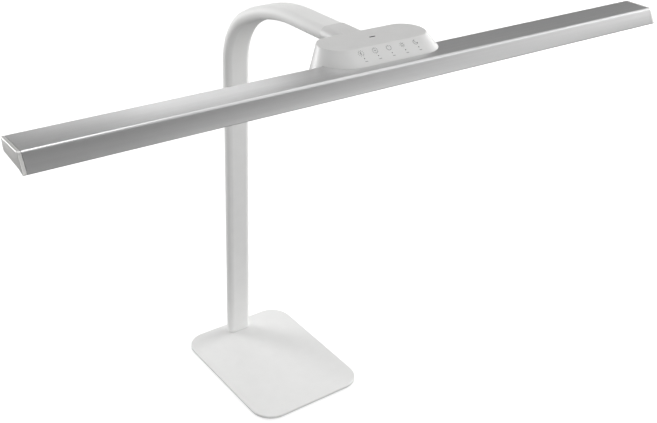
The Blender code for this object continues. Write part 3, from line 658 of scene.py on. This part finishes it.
def build_sleeve():
    """One smooth sleeve in six lengths, each of which reaches across one hinge of the neck."""
    steps = 30
    for number in range(HINGE_COUNT):
        start = number * HINGE_PITCH if number else GAP
        end = (number + 1) * HINGE_PITCH
        if number == HINGE_COUNT - 1:
            end += COLLAR_MOUTH - GAP
        stations = [start + (end - start) * i / steps for i in range(steps + 1)]
        outer = [neck_ring(s, 0.0) for s in stations]
        inner = [neck_ring(s, SLEEVE_WALL) for s in reversed(stations)]
        piece = make_mesh_object(f"neck_skin_{number + 1}", loft(outer + inner, closed=True), SILICONE)
        heading = centreline((number + 0.5) * HINGE_PITCH)[2]
        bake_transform(piece)
        nodes = [f"neck_sleeve_{number + 1}"] + ([] if number else ["neck_sleeve_0"])
        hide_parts(*nodes)


def build_root_ring():
    """Cast flange between the post and the sleeve, with the plug and the fork that hold the first link."""
    low = POST.high.z + GAP
    high = NECK_START_Z - GAP

    def flange_ring(inset, z):
        points = stadium(SLEEVE_WIDTH - 2 * inset, SLEEVE_DEPTH - 2 * inset)
        return [(x, POST.middle.y + y, z) for x, y in points]

    rings = tube_rings(flange_ring, low, high, FLANGE_EDGE)
    flange = make_mesh_object("neck_root_flange", loft(rings), ZINC)
    plug_inset = TUBE_WALL + GAP
    points = stadium(POST.size.x - 2 * plug_inset, POST.size.y - 2 * plug_inset)
    plug = [(x, POST.middle.y + y) for x, y in points]
    combine(flange, loft([upright(plug, z) for z in (POST.high.z - PLUG_DEPTH, low + PAST_FACE)]), "UNION")

    hinge = Vector(frame["joints"][0]["pos_m"])
    strap = rectangle(-LINK_HALF_WIDTH, hinge.y - LINK_HALF_DEPTH,
                      LINK_HALF_WIDTH, hinge.y + LINK_HALF_DEPTH)
    combine(flange, loft([upright(strap, z) for z in (high - PAST_FACE, hinge.z)]), "UNION")
    half_slot = 0.0038
    slot_radius = 0.0058
    rivet_radius = 0.0023
    rivet_reach = 0.012
    for radius, half_length, operation in ((LINK_EYE_RADIUS, LINK_HALF_WIDTH, "UNION"),
                                           (slot_radius, half_slot, "DIFFERENCE"),
                                           (rivet_radius, rivet_reach, "DIFFERENCE")):
        combine(flange, rod_along_x(hinge.y, hinge.z, radius, half_length), operation)
    place(flange, STAND_BODY, ["neck_root_socket"])


# ---- hub and collar --------------------------------------------------------------------------------------
def pill_ring(size, z, grow=0.0, steps=40):
    """Ring of a round-ended outline; size is half length, half width and middle y."""
    half_length, half_width, y = size
    points = stadium(2 * (half_length + grow), 2 * (half_width + grow), steps)
    return [(px, y + py, z) for px, py in points]


def hub_size_at(z):
    """Outline of the hub's skirt at a height: it flares to the front and the ends, with an upright back."""
    share = (HUB_RIM_Z - z) / (HUB_RIM_Z - HUB_SKIRT_Z)
    return tuple(rim + (skirt - rim) * share for rim, skirt in zip(HUB_RIM, HUB_SKIRT))


def hub_solid(low, high, grow):
    return loft([pill_ring(hub_size_at(z), z, grow) for z in (low, high)])


PANEL_FOOT = Vector((0, HUB_SKIRT[2] - HUB_SKIRT[1], HUB_SKIRT_Z))
PANEL_HEAD = Vector((0, HUB_RIM[2] - HUB_RIM[1], HUB_RIM_Z))
PANEL_UP = (PANEL_HEAD - PANEL_FOOT).normalized()
PANEL_OUT = Vector((1, 0, 0)).cross(PANEL_UP)


def panel_matrix(x, along):
    """Frame on the hub's slanted front: local X along the bar, local Y up the slope, local Z outward."""
    turn = Matrix((Vector((1, 0, 0)), PANEL_UP, PANEL_OUT)).transposed().to_4x4()
    return Matrix.Translation(PANEL_FOOT + PANEL_UP * along + Vector((x, 0, 0))) @ turn


def icon_x(number):
    return (number - len(ICON_NAMES) // 2) * ICON_PITCH


def build_hub_shell():
    """Saddle-shaped cover: it straddles the bar, and its back hangs down behind it."""
    roof = HUB_RIM_Z - HUB_PLATE - 0.00002
    ceiling = roof - HUB_WALL + GAP
    shell = make_mesh_object("hub_cover", hub_solid(HUB_BOTTOM_Z, roof, 0.0), WHITE_PLASTIC)
    combine(shell, hub_solid(HUB_BOTTOM_Z - 2 * PAST_FACE, ceiling, -HUB_WALL), "DIFFERENCE")

    back = BAR_BACK_Y + GAP
    front = BAR_BACK_Y - 0.08
    foot = BAR_TOP + SEAM
    below_hub = 0.45
    combine(shell, prism_along_x([(back, below_hub), (back, foot), (front, foot), (front, below_hub)]),
            "DIFFERENCE")

    doorway = stadium(width=0.0292, depth=0.0122)
    through_back = (-0.145, -0.180)
    combine(shell, loft([[(x, y, NECK_END_Z + z) for x, z in doorway] for y in through_back]), "DIFFERENCE")
    for number in range(len(ICON_NAMES)):
        hole = drill(DOT_HOLE_RADIUS, low=-0.006, high=0.004)
        dot_place = panel_matrix(icon_x(number) + DOT_OFFSET, DOT_ALONG_PANEL)
        combine(shell, moved(hole, dot_place), "DIFFERENCE")
    soften(shell, width=0.00030, angle=95)
    place(shell, HEAD_BODY, ["hub_shell"])


def build_hub_top():
    """Flat grey touch plate with a softly rounded rim, and the light sensor's window in it."""
    low = HUB_RIM_Z - HUB_PLATE
    rim_round = 0.0004
    rings = []
    for inset, z in rounded_profile(low, HUB_RIM_Z, bottom=0.0, top=rim_round):
        rings.append(pill_ring(hub_size_at(z), z, -inset))
    plate = make_mesh_object("hub_top_plate_satin", loft(rings), GREY_PLASTIC)

    sensor = Box("sensor_window")
    opening = (sensor.size.x / 2, sensor.size.y / 2, sensor.middle.y)
    steps = 16
    cutter = [pill_ring(opening, z, GAP / 2, steps) for z in (low - PAST_FACE, HUB_RIM_Z + PAST_FACE)]
    combine(plate, loft(cutter), "DIFFERENCE")
    place(plate, HEAD_BODY, ["hub_top_plate"])

    rings = []
    for inset, z in rounded_profile(low, HUB_RIM_Z - SEAM, bottom=0.0001, top=0.0002, steps=3):
        rings.append(pill_ring(opening, z, -inset, steps))
    window = make_mesh_object("sensor_window_lens", loft(rings), DARK_ACRYLIC)
    place(window, HEAD_BODY, ["sensor_window"])


def build_hub_underside():
    """Screwed cover plate under the hub, with an upright wall that closes the hub behind the bar."""
    underside = Box("hub_bottom_cover").low.z
    rings = []
    for inset, z in rounded_profile(underside, COVER_WALL_TOP, bottom=0.0003, top=0.0002, steps=3):
        rings.append(pill_ring(hub_size_at(z), z, -(HUB_WALL + GAP) - inset))
    cover = make_mesh_object("hub_lower_cover", loft(rings), WHITE_PLASTIC)

    wall_front = BAR_BACK_Y + COVER_CLEARANCE
    wall_back = wall_front + COVER_PLATE
    below_hub = 0.49
    above_wall = 0.53
    past_front = -0.30
    past_back = -0.10
    in_front_of_wall = rectangle(past_front, below_hub, wall_front, above_wall)
    above_plate = rectangle(wall_back, underside + COVER_PLATE, past_back, above_wall)
    for outline in (in_front_of_wall, above_plate):
        combine(cover, prism_along_x(outline), "DIFFERENCE")

    for side in ("left", "right"):
        screw = Box(f"cover_screw_{side}").middle
        seat = stepped_drill(head_radius=0.0027, head_depth=0.0012, shank_radius=0.0015, depth=0.004)
        combine(cover, moved(seat, Matrix.Translation((screw.x, screw.y, underside))), "DIFFERENCE")
    place(cover, HEAD_BODY, ["hub_bottom_cover"])


def build_collar():
    """Stiff flat-oval collar: the sleeve ends in its mouth, and its other end follows the hub's side."""
    start = COLLAR.high.y
    end = HUB_RIM[2] + HUB_RIM[1] - 0.004
    clearance = 0.0002
    mouth = (SLEEVE_WIDTH + clearance, SLEEVE_DEPTH + clearance)
    bore = (COLLAR.size.x - 2 * COLLAR_WALL, COLLAR.size.z - 2 * COLLAR_WALL)

    def ring(width, depth, y):
        return [(x, y, NECK_END_Z + z) for x, z in stadium(width, depth)]

    def outer_at(inset, along):
        return ring(COLLAR.size.x - 2 * inset, COLLAR.size.z - 2 * inset, start - along)

    outer = tube_rings(outer_at, 0.0, start - end, COLLAR_EDGE)
    inner = [ring(*bore, end), ring(*bore, start - COLLAR_MOUTH), ring(*mouth, start - COLLAR_MOUTH),
             ring(*mouth, start)]
    collar = make_mesh_object("neck_collar_moulded", loft(outer + inner, closed=True), GREY_PLASTIC)
    combine(collar, hub_solid(HUB_BOTTOM_Z - 0.01, HUB_RIM_Z + PAST_FACE, GAP / 2), "DIFFERENCE")
    place(collar, HEAD_BODY, ["neck_collar"])


# ---- printed touch icons and indicator lights ------------------------------------------------------------
def stroke(points, closed=False, width=INK_WIDTH):
    """Flat ribbon of ink along a line of points, as a thin solid."""
    left = []
    right = []
    count = len(points)
    for i, point in enumerate(points):
        before = points[(i - 1) % count] if closed or i > 0 else point
        after = points[(i + 1) % count] if closed or i < count - 1 else point
        along = (Vector(after) - Vector(before)).normalized()
        side = Vector((-along.y, along.x)) * width / 2
        left.append(Vector(point) + side)
        right.append(Vector(point) - side)
    solid = bmesh.new()
    rows = []
    for side, z in ((left, -INK_SINK), (left, INK_HEIGHT), (right, INK_HEIGHT), (right, -INK_SINK)):
        rows.append([solid.verts.new((point.x, point.y, z)) for point in side])
    for row, following in zip(rows, rows[1:] + rows[:1]):
        for i in range(count if closed else count - 1):
            j = (i + 1) % count
            solid.faces.new((row[i], row[j], following[j], following[i]))
    if not closed:
        solid.faces.new([row[0] for row in rows])
        solid.faces.new([row[-1] for row in reversed(rows)])
    bmesh.ops.recalc_face_normals(solid, faces=solid.faces)
    return solid


def circle(radius, steps=40):
    return stroke(arc((0, 0), radius, 0, 360, steps)[:-1], closed=True)


def rays(count, inner, outer):
    """Short strokes that point out of a circle."""
    strokes = []
    for i in range(count):
        turn = 2 * math.pi * i / count
        direction = Vector((math.cos(turn), math.sin(turn)))
        strokes.append(stroke([direction * inner, direction * outer]))
    return strokes


def crescent(radius, bite_radius, bite):
    """Outline of a circle with a bite out of it; bite is the centre of the circle that is taken away."""
    distance = math.hypot(*bite)
    toward = math.degrees(math.atan2(bite[1], bite[0]))
    along = (radius ** 2 - bite_radius ** 2 + distance ** 2) / (2 * distance)
    half_outer = math.degrees(math.acos(along / radius))
    half_inner = math.degrees(math.acos((distance - along) / bite_radius))
    outer = arc((0, 0), radius, toward + half_outer, toward + 360 - half_outer, 36)
    inner = arc(bite, bite_radius, toward + 180 + half_inner, toward + 180 - half_inner, 24)
    return stroke(outer + inner[1:-1], closed=True)


def icon_shapes():
    """Generic touch icons, in the order of their names."""
    half_sun = stroke(arc((0, 0), 0.00100, 90, 270, 20))
    horizon = stroke([(0, -0.00165), (0, 0.00165)])
    warmth = [half_sun, horizon] + rays(10, inner=0.00245, outer=0.00375)
    dimmer = rays(12, inner=0.00225, outer=0.00365) + [circle(0.00055, steps=16)]
    power = [stroke(arc((0, 0), 0.00290, 116, 424, 48)), stroke([(0, 0.0010), (0, 0.00345)])]
    brighter = [circle(0.00145)] + rays(8, inner=0.00215, outer=0.00310)
    night = [crescent(0.00275, bite_radius=0.00225, bite=(0.00150, 0.00125))]
    return [warmth, dimmer, power, brighter, night]


def join_solids(solids):
    joined = bmesh.new()
    for solid in solids:
        mesh = bpy.data.meshes.new("part")
        solid.to_mesh(mesh)
        solid.free()
        joined.from_mesh(mesh)
        bpy.data.meshes.remove(mesh)
    return joined


def indicator_lens():
    """Light pipe with a rounded rim, a touch proud of the panel."""
    rim_round = 0.00015
    shoulder = -0.00012
    rim = arc((DOT_RADIUS - rim_round, shoulder), rim_round, 0, 90, 4)[1:]
    foot = -0.0021
    return lathe([(0, foot), (DOT_RADIUS, foot), (DOT_RADIUS, shoulder)] + rim + [(0, 0.00005)], 32)


def build_controls():
    """Printed icon, indicator light and dash of each touch control on the slanted front."""
    for number, (name, strokes) in enumerate(zip(ICON_NAMES, icon_shapes())):
        x = icon_x(number)
        icon = moved(join_solids(strokes), panel_matrix(x, ICON_ALONG_PANEL))
        place(make_mesh_object(f"icon_{name}", icon, INK), HEAD_BODY)
        lens = moved(indicator_lens(), panel_matrix(x + DOT_OFFSET, DOT_ALONG_PANEL))
        item = make_mesh_object(f"indicator_lens_{number + 1}", lens, DARK_ACRYLIC)
        place(item, HEAD_BODY, [f"indicator_pipe_{number + 1}"])
        dash = stroke([(-DASH_LENGTH / 2, 0), (DASH_LENGTH / 2, 0)], width=DASH_WIDTH)
        dash = moved(dash, panel_matrix(x + DASH_OFFSET, DASH_ALONG_PANEL))
        place(make_mesh_object(f"dash_{number + 1}", dash, PALE_INK), HEAD_BODY)


# ---- light bar -------------------------------------------------------------------------------------------
def bar_outline():
    """Outer outline of the bar, as (reach, drop): flat top, front leaning outward, shallow underside."""
    lean = math.degrees(math.atan2(BAR_DROP, BAR_REACH - BAR_TOP_WIDTH))
    edge = BAR_EDGE_ROUND
    front_centre = (BAR_TOP_WIDTH - 0.0026, BAR_FRONT_ROUND)
    lip_centre = (BAR_REACH - 0.0014, BAR_DROP - edge)
    foot_centre = (0.0050, 0.0098)
    back_top = arc((edge, edge), edge, 180, 270, 8)
    front_top = arc(front_centre, BAR_FRONT_ROUND, -90, lean - 90, 16)
    front_low = arc(lip_centre, edge, lean - 90, 105, 10)
    back_low = arc(foot_centre, BAR_FOOT_ROUND, 90, 160, 10)
    return back_top, front_top, front_low, back_low


def bar_ring(outline, x):
    """Ring across the bar; reach runs forward from its back edge and drop down from its top."""
    return [(x, BAR_BACK_Y - reach, BAR_TOP - drop) for reach, drop in outline]


def bar_length(outline, low, high):
    return loft([bar_ring(outline, x) for x in (low, high)])


def build_bar():
    """Hollow extrusion, open below between two lips, and the diffuser that lies in it."""
    back_top, front_top, front_low, back_low = bar_outline()
    lip_front = [(0.0368, 0.0152), (0.0368, 0.0137), (0.0381, 0.0138)]
    hollow = [(0.0430, 0.0156), (0.0360, 0.0024), (0.0343, BAR_WALL), (0.0023, BAR_WALL), (0.0017, 0.0024),
              (0.0038, 0.0093), (0.0050, 0.0108)]
    lip_back = [(0.0080, 0.0110), (0.0080, 0.0128)]
    outline = back_top + front_top + front_low + lip_front + hollow + lip_back + back_low
    body = make_mesh_object("bar_profile", bar_length(outline, BAR.low.x, BAR.high.x), ALUMINIUM)
    for number in range(HEAD_SCREW_COUNT):
        screw = Box(f"head_screw_{number + 1}").middle
        hole = drill(HEAD_SCREW_HOLE_RADIUS, low=-0.004, high=0.002)
        combine(body, moved(hole, Matrix.Translation((screw.x, screw.y, BAR_TOP))), "DIFFERENCE")
    place(body, HEAD_BODY, ["bar_extrusion"])

    diffuser = Box("diffuser")
    edge = 0.0003
    panel = [(0.0056, 0.0097), (0.0380, 0.0125)]
    panel += arc((0.03775, 0.0132), edge, 0, 85, 3) + arc((0.0058, 0.0105), edge, 95, 180, 3)
    sheet = make_mesh_object("diffuser_opal", bar_length(panel, diffuser.low.x, diffuser.high.x), OPAL)
    place(sheet, HEAD_BODY, ["diffuser"])

    build_end_caps(back_top + front_top + front_low + lip_front[:1] + back_low)


def build_end_caps(outline):
    """Moulded caps with a rounded outer rim, and a tenon that reaches into the extrusion."""
    tenon = rectangle(0.0110, 0.0018, 0.0290, 0.0046)
    for side, name in ((-1, "left"), (1, "right")):
        outer_x = side * BAR_END_X
        inner_x = side * (BAR_END_X - CAP_LENGTH)
        solid = bar_length(outline, inner_x, outer_x)
        rim = [edge for edge in solid.edges if all(abs(end.co.x - outer_x) < 1e-6 for end in edge.verts)]
        bmesh.ops.bevel(solid, geom=rim, offset=CAP_RIM_RADIUS, segments=5, profile=0.5, affect="EDGES")
        cap = make_mesh_object(f"end_cap_{name}_moulded", solid, SILVER_PLASTIC)
        tenon_ends = (inner_x + side * PAST_FACE, inner_x - side * CAP_TENON_LENGTH)
        combine(cap, bar_length(tenon, *tenon_ends), "UNION")
        soften(cap, width=0.00025)
        place(cap, HEAD_BODY, [f"end_cap_{name}"])


# ---- carried CAD nodes -----------------------------------------------------------------------------------
def finish_carried_nodes():
    """Gives each CAD node that stays in view its material, and a fine edge radius on the metal ones."""
    finishes = {"black_foam_rubber": FOAM, "zinc_plated_steel": STEEL, "die_cast_zinc": ZINC,
                "green_circuit_board": GREEN_BOARD, "white_circuit_board": WHITE_BOARD,
                "white_plastic": WHITE_PLASTIC}
    for part in frame["record"]["subparts"]:
        item = frame["nodes"][part["node"]]
        if item.hide_render:
            continue
        material = finishes[part["material_slot"]]
        item.data.materials.clear()
        item.data.materials.append(material)
        if material in (STEEL, ZINC):
            soften(item, width=0.00012, segments=2, angle=50)


build_base()
build_post()
build_root_ring()
build_sleeve()
build_hub_shell()
build_hub_top()
build_hub_underside()
build_collar()
build_controls()
build_bar()
finish_carried_nodes()


# ---- floor, light and camera -----------------------------------------------------------------------------
FLOOR_HALF = 6.0
FLOOR_THICKNESS = 0.02
LIT_POINT = Vector((0.0, -0.05, 0.3))
LIGHT_DISTANCE = 2.5
SOFTBOX_SIZE = 1.2
STRIP_SIZE = 0.6
ROOM_LIGHT = 0.194
WALL_SHADE = 0.93
# Azimuth, elevation and energy of each light; azimuth 0 is in front of the lamp, at -Y, and 90 is at +X.
SOFTBOXES = ((90, 8, 54.0), (210, 8, 46.0), (330, 8, 26.0), (180, 78, 13.7), (60, 55, 5.2), (30, 8, 6.2),
             (120, 55, 5.4), (60, 30, 3.6), (90, 30, 4.2))
STRIPS = ((165, 15, 2.25), (153, 22, 2.1))
CAMERA_AZIMUTH = math.radians(-37.4526)
CAMERA_ELEVATION = math.radians(28.6132)
CAMERA_ROLL = math.radians(2.491)
CAMERA_PLACE = (-0.6154, -0.9236, 0.8555)
CAMERA_LENS = 52.295


def build_floor():
    outline = rectangle(-FLOOR_HALF, -FLOOR_HALF, FLOOR_HALF, FLOOR_HALF)
    solid = loft([upright(outline, z) for z in (-FLOOR_THICKNESS, 0.0)])
    floor = make_mesh_object("studio_floor", solid, floor_finish())
    floor.visible_diffuse = False
    floor.visible_glossy = False


def direction_of(azimuth, elevation):
    """Unit vector from the lamp toward an azimuth and an elevation, in radians."""
    level = math.cos(elevation)
    return Vector((math.sin(azimuth) * level, -math.cos(azimuth) * level, math.sin(elevation)))


def softbox(azimuth, elevation, size, energy):
    """Square panel that faces the lamp."""
    away = direction_of(math.radians(azimuth), math.radians(elevation))
    data = bpy.data.lights.new("softbox", "AREA")
    data.shape = "SQUARE"
    data.size = size
    data.energy = energy
    panel = bpy.data.objects.new("softbox", data)
    panel.location = LIT_POINT + away * LIGHT_DISTANCE
    panel.rotation_euler = (-away).to_track_quat("-Z", "Y").to_euler()
    panel.visible_camera = False
    bpy.context.scene.collection.objects.link(panel)


def build_lights():
    """Dim room with soft panels all round it, strongest on the right; its wall is pale where it is seen."""
    world = bpy.data.worlds.new("studio")
    bpy.context.scene.world = world
    world.use_nodes = True
    nodes = world.node_tree.nodes
    links = world.node_tree.links
    wall = nodes["Background"]
    wall.inputs["Color"].default_value = (WALL_SHADE, WALL_SHADE, WALL_SHADE, 1.0)
    room = nodes.new("ShaderNodeBackground")
    room.inputs["Color"].default_value = (ROOM_LIGHT, ROOM_LIGHT, ROOM_LIGHT, 1.0)
    mix = nodes.new("ShaderNodeMixShader")
    links.new(nodes.new("ShaderNodeLightPath").outputs["Is Camera Ray"], mix.inputs["Fac"])
    links.new(room.outputs["Background"], mix.inputs[1])
    links.new(wall.outputs["Background"], mix.inputs[2])
    links.new(mix.outputs["Shader"], nodes["World Output"].inputs["Surface"])
    for lights, size in ((SOFTBOXES, SOFTBOX_SIZE), (STRIPS, STRIP_SIZE)):
        for azimuth, elevation, energy in lights:
            softbox(azimuth, elevation, size, energy)


def build_camera():
    """Three-quarter view from the left, in front and above, with the slight roll of a hand-held shot."""
    back = direction_of(CAMERA_AZIMUTH, CAMERA_ELEVATION)
    level_right = Vector((math.cos(CAMERA_AZIMUTH), math.sin(CAMERA_AZIMUTH), 0.0))
    level_up = back.cross(level_right)
    right = level_right * math.cos(CAMERA_ROLL) + level_up * math.sin(CAMERA_ROLL)
    up = level_up * math.cos(CAMERA_ROLL) - level_right * math.sin(CAMERA_ROLL)
    data = bpy.data.cameras.new("camera")
    data.sensor_width = 36.0
    data.lens = CAMERA_LENS
    data.clip_start = 0.05
    data.clip_end = 60.0
    camera = bpy.data.objects.new("camera", data)
    turn = Matrix((right, up, back)).transposed().to_4x4()
    camera.matrix_world = Matrix.Translation(CAMERA_PLACE) @ turn
    bpy.context.scene.collection.objects.link(camera)
    bpy.context.scene.camera = camera


build_floor()
build_lights()
build_camera()
bpy.context.scene.view_settings.view_transform = "Standard"
